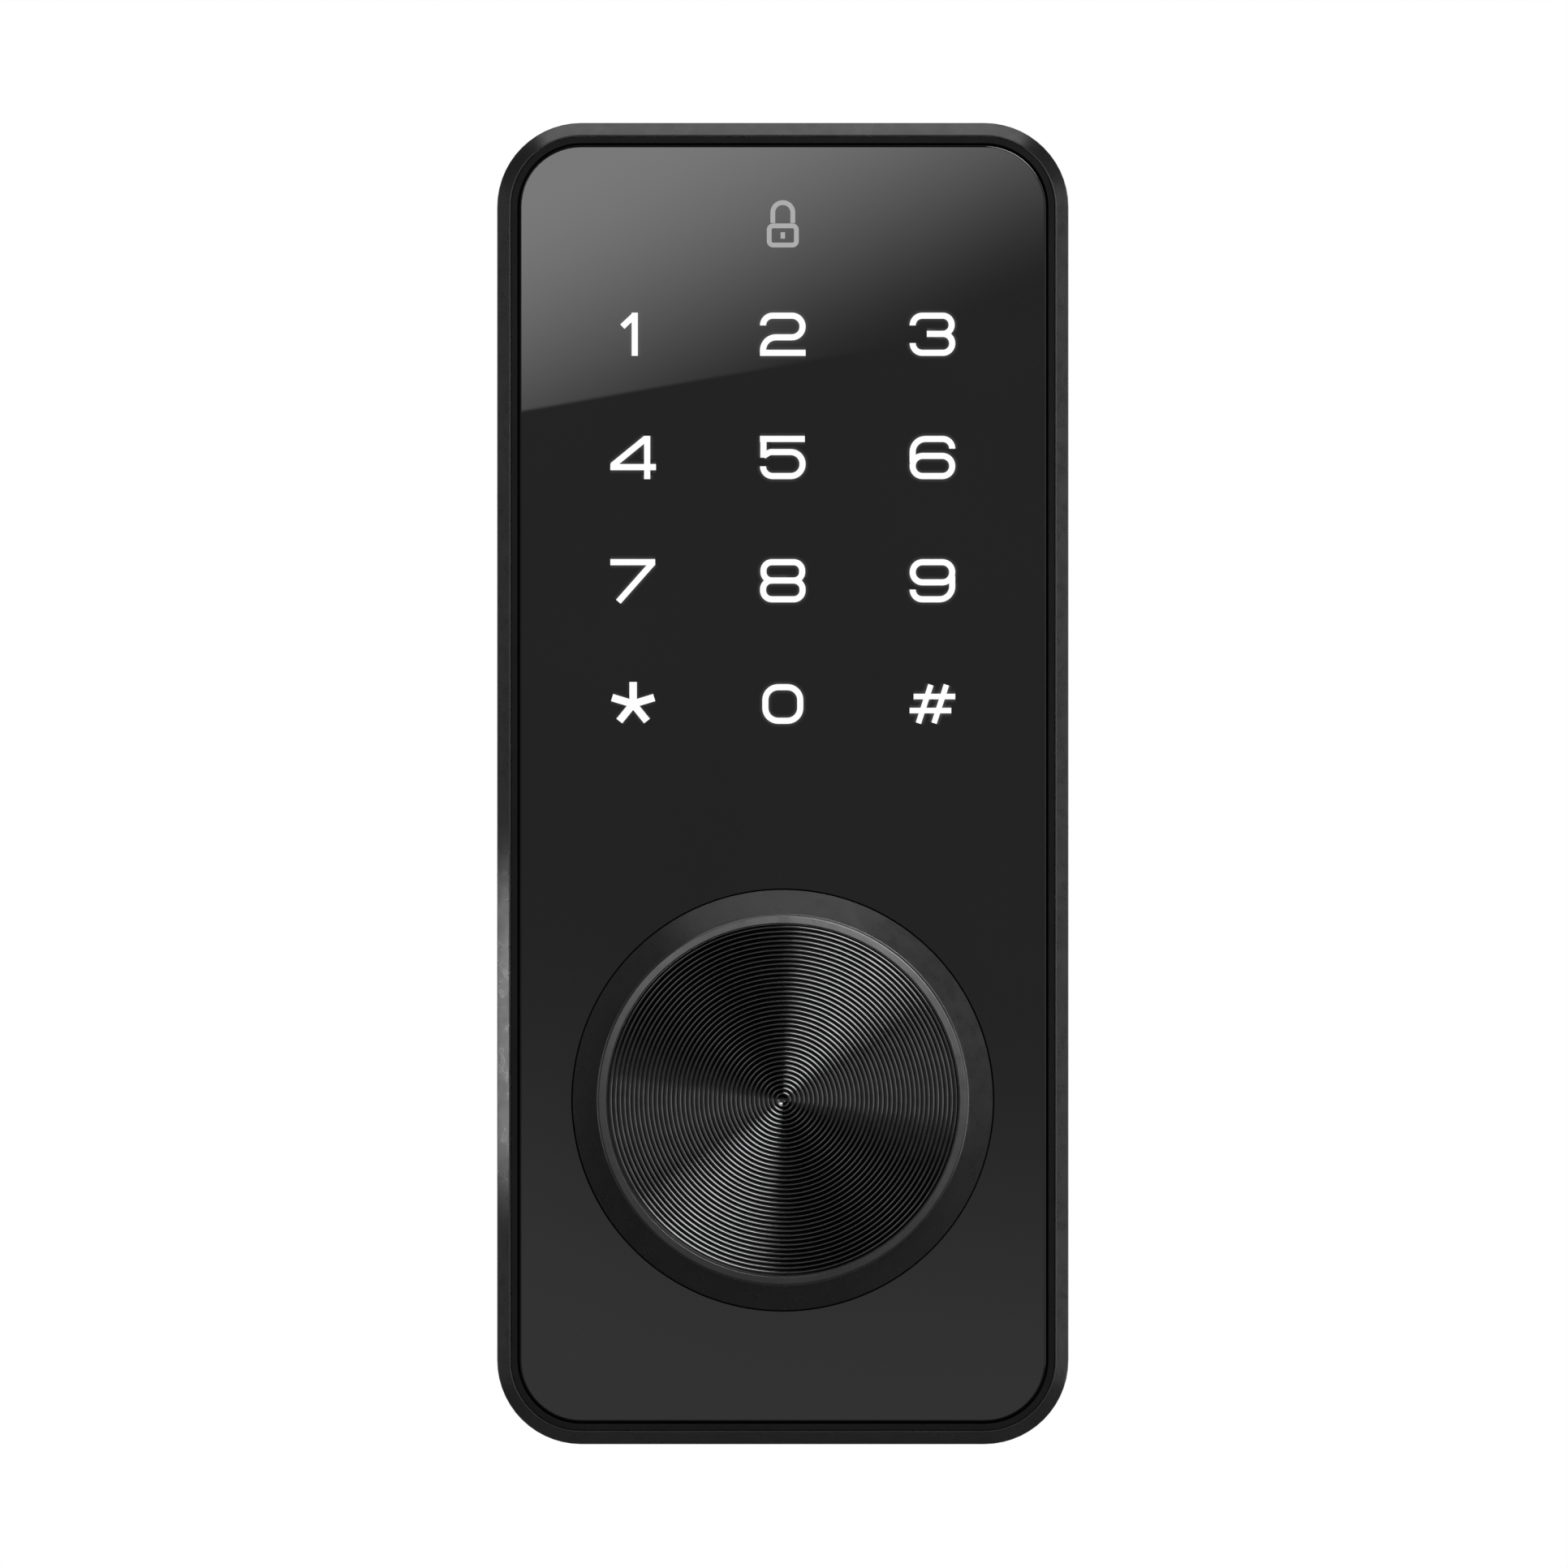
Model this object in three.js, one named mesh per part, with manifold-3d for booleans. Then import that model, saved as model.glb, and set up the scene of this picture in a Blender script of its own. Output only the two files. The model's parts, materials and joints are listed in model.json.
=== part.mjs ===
// The outside unit of a keypad smart lock for a door with a 54 mm cross bore.
// A die-cast housing holds a touch panel with twelve back-lit keys and, below it, a turning knob.
// The knob spins freely until a small motor slides the clutch ring forward. It then turns the
// tailpiece, which works the deadbolt inside the door.
//
// Everything is modelled in the lock's own frame, in millimetres: x to the right, y up and z out of
// the door towards the person in front of it. z = 0 is the door's surface and the z axis is the
// knob's axis. The exported group is turned so that +Z is up and the lock faces -Y.

import * as THREE from "three";
import { mergeVertices } from "three/addons/utils/BufferGeometryUtils.js";
import Module from "manifold-3d";

const wasm = await Module();
wasm.setup();

// ---------------------------------------------------------------- driving dimensions

const body = { width: 71.4, height: 165.1, depth: 24, radius: 10.5, wall: 2.2, bevel: 1.5 };
const axisToBottom = 43; // from the knob's axis down to the housing's lower edge
const bodyCentre = body.height / 2 - axisToBottom;
const rearEdge = 0.8; // the housing stops this far short of the door, and the gasket fills the rest
const fit = 0.1; // gap between fixed pieces that touch
const lip = 0.15; // flat edge between the housing's bevel and the panel's pocket

const floor = { back: 19.5, front: 21.5 }; // the housing's inner floor, behind the touch panel
const frameBand = 0.9; // visible width of the dark frame round the panel
const panelInset = 2.75; // from the housing's side to the touch panel's edge
const panelThickness = 1.9;

const columnPitch = 18.7;
const rowPitch = 15.4;
const topRow = 95.7; // height of the keys 1, 2 and 3 above the knob's axis
const keyRows = [0, 1, 2, 3].map((row) => topRow - row * rowPitch);
const keyColumns = [-columnPitch, 0, columnPitch];
const lightPillar = { width: 12, height: 9 }; // the light guide's pillar under each key

const knob = { radius: 23.25, front: 36, back: 23, wall: 2 };
const rim = { width: 1.15, crown: 0.15, chamfer: 0.4, faceRecess: 0.4 }; // round the knob's face
const knobFloor = { back: 31, front: 34.4 };
const rose = { outer: 26.35, inner: 23.5, rise: 2.4, flange: 29 };
const spindle = { radius: 4, square: 5.4, back: 9.7, front: 30.9 };

const clutch = { radius: 9.4, back: 4.6, front: 7.2 };
const groove = { radius: 7.6, back: 5.1, front: 6.7 }; // round the clutch ring, for the fork
const dog = { width: 4, inner: 4.8, outer: 8.8, height: 2 };
const driveDog = { radius: 9, back: 9.6, front: 12.8, slotDepth: 2.4, slotWidth: 4.6 };
const outputSquare = 6;
const motor = { y: 16.5, radius: 4, back: 11.5, front: 19.4 };

const plate = { back: 1.5, front: 3 }; // the steel back plate
const screwInset = 8.6; // the four plate screws, from the housing's sides
const postSpacing = 35; // between the two bolt posts
const post = { radius: 4, end: -14, bore: 2.1, boreTop: -2 };
const hub = { radius: 10.5, bore: 7.6, back: -1.8 }; // the back plate's bearing hub
const journal = { radius: 5, back: -5 };
const tail = { width: 7, thickness: 2.4, end: -45, front: 0.9 };
const cableHole = { y: -16.6, radius: 4.4, bore: 3.3 };
const tamper = { x: 22, y: 60, radius: 1.5, end: -0.9, top: 5.2 };
const port = { z: 11.9, width: 9, height: 3.2, depth: 7.5 };
const coverPocket = { halfWidth: 8, back: 8.6, front: 15.6, depth: 1.1 };

// ---------------------------------------------------------------- shapes

const FINE = 48; // segments round a large circle
const MEDIUM = 24; // segments round a bearing or a bore
const COARSE = 12; // segments round a screw

// A geometry as a manifold solid: shared vertices merged, collapsed faces dropped, faces pointing out.
function solid(geometry) {
  const bare = geometry.clone();
  bare.deleteAttribute("normal");
  bare.deleteAttribute("uv");
  const merged = mergeVertices(bare, 1e-4);
  const index = merged.index.array;
  const faces = [];
  for (let i = 0; i < index.length; i += 3) {
    const [a, b, c] = [index[i], index[i + 1], index[i + 2]];
    if (a !== b && b !== c && c !== a) faces.push([a, b, c]);
  }
  const build = (triangles) =>
    new wasm.Manifold(
      new wasm.Mesh({
        numProp: 3,
        vertProperties: new Float32Array(merged.attributes.position.array),
        triVerts: new Uint32Array(triangles.flat()),
      }),
    );
  const made = build(faces);
  return made.volume() < 0 ? build(faces.map(([a, b, c]) => [a, c, b])) : made;
}

const join = (first, ...others) => others.reduce((all, next) => all.add(next), first);
const cut = (first, ...others) => others.reduce((left, next) => left.subtract(next), first);

// A rounded rectangle about (x, y).
function roundedRect(width, height, radius, x = 0, y = 0) {
  const shape = new THREE.Shape();
  const [w, h] = [width / 2 - radius, height / 2 - radius];
  shape.absarc(x + w, y - h, radius, -Math.PI / 2, 0);
  shape.absarc(x + w, y + h, radius, 0, Math.PI / 2);
  shape.absarc(x - w, y + h, radius, Math.PI / 2, Math.PI);
  shape.absarc(x - w, y - h, radius, Math.PI, Math.PI * 1.5);
  shape.closePath();
  return shape;
}

// The housing's outline drawn in by an inset.
const outline = (inset) =>
  roundedRect(body.width - 2 * inset, body.height - 2 * inset, body.radius - inset, 0, bodyCentre);

// A flat outline made solid from z = back to z = front.
function slab(shape, back, front, curveSegments = 8) {
  const options = { depth: front - back, bevelEnabled: false, curveSegments };
  return solid(new THREE.ExtrudeGeometry(shape, options).translate(0, 0, back));
}

const block = (x0, x1, y0, y1, z0, z1) =>
  solid(
    new THREE.BoxGeometry(x1 - x0, y1 - y0, z1 - z0).translate(
      (x0 + x1) / 2,
      (y0 + y1) / 2,
      (z0 + z1) / 2,
    ),
  );

// A cylinder or cone along z, from z = back to z = front.
function rod(radius, back, front, x = 0, y = 0, segments = COARSE, frontRadius = radius) {
  const made = new THREE.CylinderGeometry(frontRadius, radius, front - back, segments);
  return solid(made.rotateX(Math.PI / 2).translate(x, y, (back + front) / 2));
}

const ring = (outer, inner, back, front, segments = FINE) =>
  cut(rod(outer, back, front, 0, 0, segments), rod(inner, back - 1, front + 1, 0, 0, segments));

// A body of revolution about z from a profile of [radius, z] points.
function turned(profile, segments = FINE) {
  const points = profile.map(([r, z]) => new THREE.Vector2(r, z));
  const closed = points.concat(points[0].clone());
  return solid(new THREE.LatheGeometry(closed, segments).rotateX(Math.PI / 2));
}

const at = (made, x, y, z = 0) => made.translate([x, y, z]);
const mirrorPair = (x, y) => [
  [-x, y],
  [x, y],
];

// A pan-head or cap screw pointing along +z: the head's back, then the shank up to its tip.
const panScrew = (headRadius, headBack, headFront, shankRadius, tip) =>
  join(
    rod(headRadius, headBack, headFront),
    rod(shankRadius, headFront - fit, tip),
  );

// ---------------------------------------------------------------- materials

const finish = (color, roughness, metalness) =>
  new THREE.MeshStandardMaterial({ color, roughness, metalness });

const material = {
  paintedZinc: finish(0x2a2a2b, 0.35, 0.6),
  matteBlack: finish(0x121212, 0.7, 0),
  panelBlack: finish(0x0a0a0b, 0.08, 0),
  anodised: finish(0x1c1c1d, 0.3, 0.9),
  clear: finish(0xdfe4e6, 0.15, 0),
  white: finish(0xe8e8e4, 0.5, 0),
  board: finish(0x12402a, 0.5, 0),
  chip: finish(0x1b1b1d, 0.5, 0),
  steel: finish(0x9a9c9e, 0.35, 1),
  brass: finish(0xb08d45, 0.3, 1),
  acetal: finish(0xd8d4c8, 0.5, 0),
  rubber: finish(0x161616, 0.9, 0),
};

// ---------------------------------------------------------------- the assembly

const lock = new THREE.Group();
lock.rotation.x = Math.PI / 2;

// Adds a solid to the lock as a named mesh.
function add(name, made, finishOf) {
  const { vertProperties, triVerts, numProp } = made.getMesh();
  const positions = new Float32Array((vertProperties.length / numProp) * 3);
  for (let i = 0; i < positions.length / 3; i += 1)
    positions.set(vertProperties.subarray(i * numProp, i * numProp + 3), i * 3);
  const geometry = new THREE.BufferGeometry();
  geometry.setAttribute("position", new THREE.BufferAttribute(positions, 3));
  geometry.setIndex(new THREE.BufferAttribute(new Uint32Array(triVerts), 1));
  geometry.computeVertexNormals();
  const mesh = new THREE.Mesh(geometry, finishOf);
  mesh.name = name;
  lock.add(mesh);
}

const bottomEdge = -axisToBottom;
const topEdge = bottomEdge + body.height;
const plateScrews = [
  ...mirrorPair(body.width / 2 - screwInset, bottomEdge + screwInset),
  ...mirrorPair(body.width / 2 - screwInset, topEdge - screwInset),
];
const boardScrewX = 28.6;
const boardScrews = [...mirrorPair(boardScrewX, 38), ...mirrorPair(boardScrewX, 104.5)];
const roseScrewRadius = 24.9;
const roseScrews = [30, 150, 270].map((degrees) => {
  const angle = THREE.MathUtils.degToRad(degrees);
  return [roseScrewRadius * Math.cos(angle), roseScrewRadius * Math.sin(angle)];
});
const bracketScrews = mirrorPair(9.5, 20.5);
const keypad = { halfWidth: 26, bottom: 40.6, top: 104.5 }; // the light shade's outline
const window = { halfWidth: 26.3, bottom: 40.3, top: 104.8 }; // the floor's opening for it

// ---- housing: a tub open to the door, with the panel's pocket in its front

function housing() {
  const bevelled = {
    depth: body.depth - 2 * body.bevel + 4,
    bevelSize: body.bevel,
    bevelThickness: body.bevel,
    bevelSegments: 1,
    curveSegments: 12,
  };
  const start = body.depth - body.bevel - bevelled.depth;
  const outer = solid(
    new THREE.ExtrudeGeometry(outline(body.bevel), bevelled).translate(0, 0, start),
  );
  const rear = block(-body.width, body.width, bottomEdge - 9, topEdge + 9, start - 9, rearEdge);
  const cavity = slab(outline(body.wall), 0, floor.back);
  const pocket = slab(outline(body.bevel + lip), floor.front, body.depth + 1, 12);
  const shell = cut(outer, rear, cavity, pocket);
  const bosses = join(
    rod(9, 14.2, floor.back + fit, 0, 0, MEDIUM), // round the knob's bush
    rod(5.6, 15.5, floor.back + fit, 0, motor.y, MEDIUM), // round the motor's nose
    ...plateScrews.map(([x, y]) => rod(3.5, plate.front + fit, floor.back + fit, x, y)),
    ...boardScrews.map(([x, y]) => rod(2.2, 18.3, floor.back + fit, x, y)),
    ...bracketScrews.map(([x, y]) => rod(2.2, 11.5, floor.back + fit, x, y)),
    ...[-1, 1].map((side) =>
      block(side * 8.5 - 1, side * 8.5 + 1, -41, -31, 10.3, floor.back + fit),
    ),
  );
  const portHole = slab(
    roundedRect(port.width + 0.4, port.height + 0.4, (port.height + 0.4) / 2 - 0.01),
    -6,
    6,
    5,
  ).rotate([90, 0, 0]);
  const coverRecess = block(
    -coverPocket.halfWidth,
    coverPocket.halfWidth,
    bottomEdge - 1,
    bottomEdge + coverPocket.depth,
    coverPocket.back,
    coverPocket.front,
  );
  const holes = join(
    rod(6.6, 14, 22, 0, 0, MEDIUM),
    rod(motor.radius + 0.15, 15, floor.back, 0, motor.y, MEDIUM),
    block(-window.halfWidth, window.halfWidth, window.bottom, window.top, 19, 22),
    ...plateScrews.map(([x, y]) => rod(1.3, 2, 13, x, y)),
    ...boardScrews.map(([x, y]) => rod(1.05, 18, 20.9, x, y)),
    ...bracketScrews.map(([x, y]) => rod(0.9, 11, 17, x, y)),
    ...roseScrews.map(([x, y]) => rod(2.4, 19, 22, x, y)),
    at(portHole, 0, bottomEdge, port.z),
    coverRecess,
  );
  return cut(join(shell, bosses), holes);
}

add("housing", housing(), material.paintedZinc);

// ---- touch panel, its frame and what lies behind it

const panelBack = body.depth - panelThickness;
const frameInner = body.bevel + lip + frameBand;

add(
  "panel_frame",
  cut(
    slab(outline(body.bevel + lip + fit), floor.front + fit, body.depth - 0.2, 12),
    slab(outline(frameInner), panelBack - fit, body.depth + 1, 12),
    slab(outline(4.2), floor.front - 1, body.depth, 12),
  ),
  material.matteBlack,
);

add(
  "touch_panel",
  cut(
    slab(outline(panelInset), panelBack, body.depth, 12),
    rod(rose.outer + 0.2, panelBack - 1, body.depth + 1, 0, 0, FINE),
  ),
  material.panelBlack,
);

const sensor = { halfWidth: 27.5, bottom: 38, top: 107 };
add(
  "touch_sensor",
  block(
    -sensor.halfWidth,
    sensor.halfWidth,
    sensor.bottom,
    sensor.top,
    floor.front + fit,
    panelBack - 0.2,
  ),
  material.clear,
);

// One box for each key, grown by a margin.
const keyBoxes = (margin, back, front) =>
  keyRows.flatMap((y) =>
    keyColumns.map((x) =>
      block(
        x - lightPillar.width / 2 - margin,
        x + lightPillar.width / 2 + margin,
        y - lightPillar.height / 2 - margin,
        y + lightPillar.height / 2 + margin,
        back,
        front,
      ),
    ),
  );

add(
  "light_shade",
  cut(
    block(-keypad.halfWidth, keypad.halfWidth, keypad.bottom, keypad.top, 19.6, 21.4),
    ...keyBoxes(0.3, 19, 22),
  ),
  material.matteBlack,
);

add(
  "light_guide",
  join(
    block(-25.5, 25.5, keypad.bottom + 0.5, keypad.top - 0.5, 18.9, 19.4),
    ...keyBoxes(0, 19.3, 21.3),
  ),
  material.clear,
);

const board = { back: 16.6, front: 18.2, halfWidth: 31, bottom: 35, top: 107.5 };
add(
  "keypad_board",
  cut(
    slab(
      roundedRect(
        2 * board.halfWidth,
        board.top - board.bottom,
        2,
        0,
        (board.top + board.bottom) / 2,
      ),
      board.back,
      board.front,
      3,
    ),
    ...boardScrews.map(([x, y]) => rod(1.25, 16, 19, x, y)),
  ),
  material.board,
);

keyRows.forEach((y, row) => {
  const lamps = keyColumns.map((x) => block(x - 1.6, x + 1.6, y - 1.4, y + 1.4, 18.35, 18.8));
  add(
    `key_leds_row_${row + 1}`,
    join(block(-21, 21, y - 1.8, y + 1.8, board.front + 0.05, 18.4), ...lamps),
    material.white,
  );
});

const behindBoard = board.back - fit;
add("controller_chip", block(-13, -3, 75, 85, 15.2, behindBoard), material.chip);
add("radio_module", block(3, 19, 80, 92, 14.2, behindBoard), material.steel);
add("buzzer", rod(6, 12, behindBoard, 12, 60, MEDIUM), material.chip);
add(
  "harness_socket",
  cut(block(-6.5, 6.5, 36.5, 42, 11, behindBoard), block(-5.5, 5.5, 37.5, 41, 10, 15)),
  material.acetal,
);
add(
  "motor_socket",
  cut(block(-19.5, -13.5, 36.5, 41, 12, behindBoard), block(-18.7, -14.3, 37.3, 40.2, 11, 15.2)),
  material.acetal,
);

boardScrews.forEach(([x, y], i) => {
  const made = panScrew(2.1, 15.3, behindBoard, 0.95, 20.6);
  add(`board_screw_${i + 1}`, at(made, x, y), material.steel);
});

// ---- rose, knob and the free-wheeling spindle

const roseProfile = [
  [rose.inner, floor.front + fit],
  [rose.flange, floor.front + fit],
  [rose.flange, panelBack - fit],
  [rose.outer, panelBack - fit],
  [rose.outer, body.depth],
  [rose.inner + 0.3, body.depth + rose.rise],
  [rose.inner, body.depth + rose.rise],
];
add(
  "knob_rose",
  cut(
    join(
      turned(roseProfile),
      ...roseScrews.map(([x, y]) => rod(2.2, 19.6, floor.front + 0.4, x, y)),
    ),
    ...roseScrews.map(([x, y]) => rod(1.05, 19, 23.3, x, y)),
  ),
  material.paintedZinc,
);
roseScrews.forEach(([x, y], i) => {
  add(`rose_screw_${i + 1}`, at(panScrew(3, 18.3, 19.4, 0.95, 23), x, y), material.steel);
});

const bushBore = spindle.radius + 0.15;
add(
  "knob_bush",
  turned([
    [bushBore, 14.2],
    [6.5, 14.2],
    [6.5, floor.front + fit],
    [8.4, floor.front + fit],
    [8.4, 22.6],
    [bushBore, 22.6],
  ]),
  material.acetal,
);
add("knob_seal", ring(22.4, 20, floor.front + 0.2, 22.8), material.rubber);
add("thrust_washer", ring(7.5, bushBore, 22.7, 23.3, MEDIUM), material.brass);

const knobRimInner = knob.radius - rim.width;
const knobProfile = [
  [0, knobFloor.back],
  [6.5, knobFloor.back],
  [knob.radius - knob.wall, knobFloor.back],
  [knob.radius - knob.wall, knob.back],
  [knob.radius, knob.back],
  [knob.radius, knob.front - rim.crown - rim.chamfer],
  [knob.radius - rim.chamfer, knob.front - rim.crown],
  [knobRimInner, knob.front],
  [knobRimInner, knobFloor.front],
  [0, knobFloor.front],
];
add(
  "knob_body",
  cut(
    join(turned(knobProfile), rod(6.5, 23.4, knobFloor.back + 0.2, 0, 0, MEDIUM)),
    block(-2.8, 2.8, -2.8, 2.8, 23, 31), // for the spindle's square
    rod(2.2, 30, 35),
    rod(4.2, 32.4, 35, 0, 0, MEDIUM), // for the knob screw's head
  ),
  material.paintedZinc,
);
add(
  "knob_face",
  rod(
    knobRimInner - fit,
    knobFloor.front + fit,
    knob.front - rim.faceRecess,
    0,
    0,
    FINE,
  ),
  material.anodised,
);
add("knob_screw", join(rod(3.9, 32.5, 34.3, 0, 0, MEDIUM), rod(2, 23, 32.6)), material.steel);

const clipGroove = { back: 13.2, front: 14, radius: 3.2 };
function knobSpindle() {
  const half = spindle.square / 2;
  const squared = (back, front) => block(-half, half, -half, half, back, front);
  return cut(
    join(
      squared(spindle.back, 13),
      rod(spindle.radius, 12.9, clipGroove.back, 0, 0, MEDIUM),
      rod(clipGroove.radius, 13, 14.1, 0, 0, MEDIUM),
      rod(spindle.radius, clipGroove.front, 23.4, 0, 0, MEDIUM),
      squared(23.3, spindle.front),
    ),
    rod(2.1, 22.5, 31.5),
  );
}
add("knob_spindle", knobSpindle(), material.steel);

// A snap ring: a washer with a gap at its foot.
const snapRing = (outer, inner, back, front, gap) =>
  cut(ring(outer, inner, back, front, MEDIUM), block(-gap, gap, -outer - 1, 0, back - 1, front + 1));
add("spindle_clip", snapRing(6.2, 3.35, 13.3, 13.9, 1.4), material.steel);

add(
  "drive_dog",
  cut(
    rod(driveDog.radius, driveDog.back, driveDog.front, 0, 0, MEDIUM),
    block(-2.8, 2.8, -2.8, 2.8, 9, 14),
    ...[0, 90].map((angle) =>
      block(
        -driveDog.radius - 1,
        driveDog.radius + 1,
        -driveDog.slotWidth / 2,
        driveDog.slotWidth / 2,
        driveDog.back - 1,
        driveDog.back + driveDog.slotDepth,
      ).rotate([0, 0, angle]),
    ),
  ),
  material.steel,
);

// ---- clutch ring, its fork, lead screw and motor

function clutchRing() {
  const turnedRing = turned([
    [0, clutch.back],
    [clutch.radius, clutch.back],
    [clutch.radius, groove.back],
    [groove.radius, groove.back],
    [groove.radius, groove.front],
    [clutch.radius, groove.front],
    [clutch.radius, clutch.front],
    [0, clutch.front],
  ]);
  const dogs = [0, 90, 180, 270].map((angle) =>
    block(
      dog.inner,
      dog.outer,
      -dog.width / 2,
      dog.width / 2,
      clutch.front - fit,
      clutch.front + dog.height,
    ).rotate([0, 0, angle]),
  );
  const half = outputSquare / 2 + 0.2;
  return cut(join(turnedRing, ...dogs), block(-half, half, -half, half, 0, 12));
}
add("clutch_ring", clutchRing(), material.brass);

function shiftFork() {
  const web = { back: 5.4, front: 6.4 };
  const arms = cut(
    rod(11.5, web.back, web.front, 0, 0, FINE),
    rod(groove.radius + 0.35, 5, 7, 0, 0, MEDIUM),
    block(-12, 12, -12, 0, 5, 7),
  );
  const neck = block(-2.4, 2.4, 10.5, motor.y, web.back, web.front);
  const nut = rod(3.2, 4.9, 6.9, 0, motor.y, MEDIUM);
  return cut(join(arms, neck, nut), rod(1.5, 4, 8, 0, motor.y));
}
add("shift_fork", shiftFork(), material.steel);
add("lead_screw", rod(1.2, 3.4, 12.6, 0, motor.y), material.brass);
add(
  "clutch_motor",
  cut(
    rod(motor.radius, motor.back, motor.front, 0, motor.y, MEDIUM),
    rod(1.5, 11, 13, 0, motor.y),
  ),
  material.steel,
);
add(
  "motor_bracket",
  cut(
    slab(roundedRect(24, 9.6, 2, 0, 18), 10.6, 11.4, 3),
    rod(2, 10, 12, 0, motor.y),
    ...bracketScrews.map(([x, y]) => rod(1, 10, 12, x, y)),
  ),
  material.steel,
);
bracketScrews.forEach(([x, y], i) => {
  add(`bracket_screw_${i + 1}`, at(panScrew(1.8, 9.5, 10.5, 0.8, 16.5), x, y), material.steel);
});

// ---- output: the spindle that the clutch ring slides on, and the tailpiece

const outputGroove = { back: -3.4, front: -2.6, radius: 4.1 };
function outputSpindle() {
  const half = outputSquare / 2;
  const slot = block(
    -tail.width / 2 - fit,
    tail.width / 2 + fit,
    -tail.thickness / 2 - fit,
    tail.thickness / 2 + fit,
    journal.back - 1,
    tail.front + fit,
  );
  return cut(
    join(
      rod(journal.radius, journal.back, outputGroove.back, 0, 0, MEDIUM),
      rod(outputGroove.radius, outputGroove.back - fit, outputGroove.front + fit, 0, 0, MEDIUM),
      rod(journal.radius, outputGroove.front, plate.front + 0.3, 0, 0, MEDIUM),
      rod(6.8, plate.front + 0.2, 4.3, 0, 0, MEDIUM),
      block(-half, half, -half, half, 4.2, 9.2),
    ),
    slot,
    rod(1.1, -6, 6).rotate([90, 0, 0]),
  );
}
add("output_spindle", outputSpindle(), material.steel);
add(
  "tailpiece",
  cut(
    slab(roundedRect(tail.width, tail.thickness, 0.3), tail.end, tail.front, 2),
    rod(1.1, -6, 6).rotate([90, 0, 0]),
  ),
  material.steel,
);
add("tailpiece_pin", rod(1, -4.7, 4.7).rotate([90, 0, 0]), material.steel);
add("output_clip", snapRing(7, 4.25, -3.3, -2.7, 1.8), material.steel);
add(
  "output_bush",
  turned([
    [journal.radius + 0.15, -2.4],
    [9, -2.4],
    [9, hub.back - fit],
    [hub.bore - fit, hub.back - fit],
    [hub.bore - fit, plate.front],
    [journal.radius + 0.15, plate.front],
  ]),
  material.acetal,
);

// ---- back plate and what fastens the lock to the door

const countersink = { head: 2.9, shank: 1.6, depth: 1.3 };
add(
  "back_plate",
  cut(
    join(
      slab(outline(body.wall + 0.15), plate.back, plate.front),
      rod(hub.radius, hub.back, plate.front, 0, 0, FINE),
    ),
    rod(hub.bore, -3, 4, 0, 0, MEDIUM),
    rod(cableHole.radius, 0, 4, 0, cableHole.y, MEDIUM),
    rod(tamper.radius + 0.3, 0, 4, tamper.x, tamper.y),
    ...mirrorPair(postSpacing / 2, 0).map(([x, y]) => rod(3.1, 0, 4, x, y, MEDIUM)),
    ...plateScrews.flatMap(([x, y]) => [
      rod(countersink.shank + 0.1, 0, 4, x, y),
      rod(
        countersink.head + 0.15,
        plate.back - 0.01,
        plate.back + countersink.depth,
        x,
        y,
        MEDIUM,
        countersink.shank + 0.15,
      ),
    ]),
  ),
  material.steel,
);

plateScrews.forEach(([x, y], i) => {
  const head = rod(
    countersink.head - 0.1,
    plate.back + 0.05,
    plate.back + countersink.depth,
    0,
    0,
    MEDIUM,
    countersink.shank - 0.1,
  );
  const shank = rod(1.2, plate.back + countersink.depth - fit, 12);
  const recess = join(
    block(-1.5, 1.5, -0.3, 0.3, plate.back - 1, plate.back + 0.7),
    block(-0.3, 0.3, -1.5, 1.5, plate.back - 1, plate.back + 0.7),
  );
  add(`plate_screw_${i + 1}`, at(cut(join(head, shank), recess), x, y), material.steel);
});

add(
  "door_gasket",
  cut(slab(outline(2.6), 0, plate.back - fit), slab(outline(5.6), -1, plate.back)),
  material.rubber,
);
add("bore_collar", ring(25.4, 22.6, -6, plate.back - fit), material.matteBlack);

mirrorPair(postSpacing / 2, 0).forEach(([x, y], i) => {
  const standoff = cut(
    join(
      rod(post.radius, post.end, plate.back - fit, 0, 0, MEDIUM),
      rod(2.9, 1.3, plate.front + 0.2, 0, 0, MEDIUM),
      rod(3.9, plate.front + fit, 4.1, 0, 0, MEDIUM),
    ),
    rod(post.bore, post.end - 1, post.boreTop),
  );
  add(i ? "bolt_post_right" : "bolt_post_left", at(standoff, x, y), material.steel);
});

add(
  "cable_grommet",
  turned(
    [
      [cableHole.bore, 0.4],
      [5.6, 0.4],
      [5.6, plate.back - fit],
      [cableHole.radius - fit, plate.back - fit],
      [cableHole.radius - fit, plate.front + fit],
      [5.6, plate.front + fit],
      [5.6, 4.1],
      [cableHole.bore, 4.1],
    ],
    MEDIUM,
  ).translate([0, cableHole.y, 0]),
  material.rubber,
);

add(
  "tamper_switch",
  cut(
    block(tamper.x - 5, tamper.x + 5, tamper.y - 3.2, tamper.y + 3.2, 5.6, 11.5),
    rod(tamper.radius + 0.3, 5, 8, tamper.x, tamper.y),
  ),
  material.chip,
);
add(
  "tamper_plunger",
  at(
    join(
      rod(tamper.radius, tamper.end, tamper.top),
      rod(2.2, 3.3, 3.9),
    ),
    tamper.x,
    tamper.y,
  ),
  material.acetal,
);

// ---- emergency power port and its cover

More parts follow.
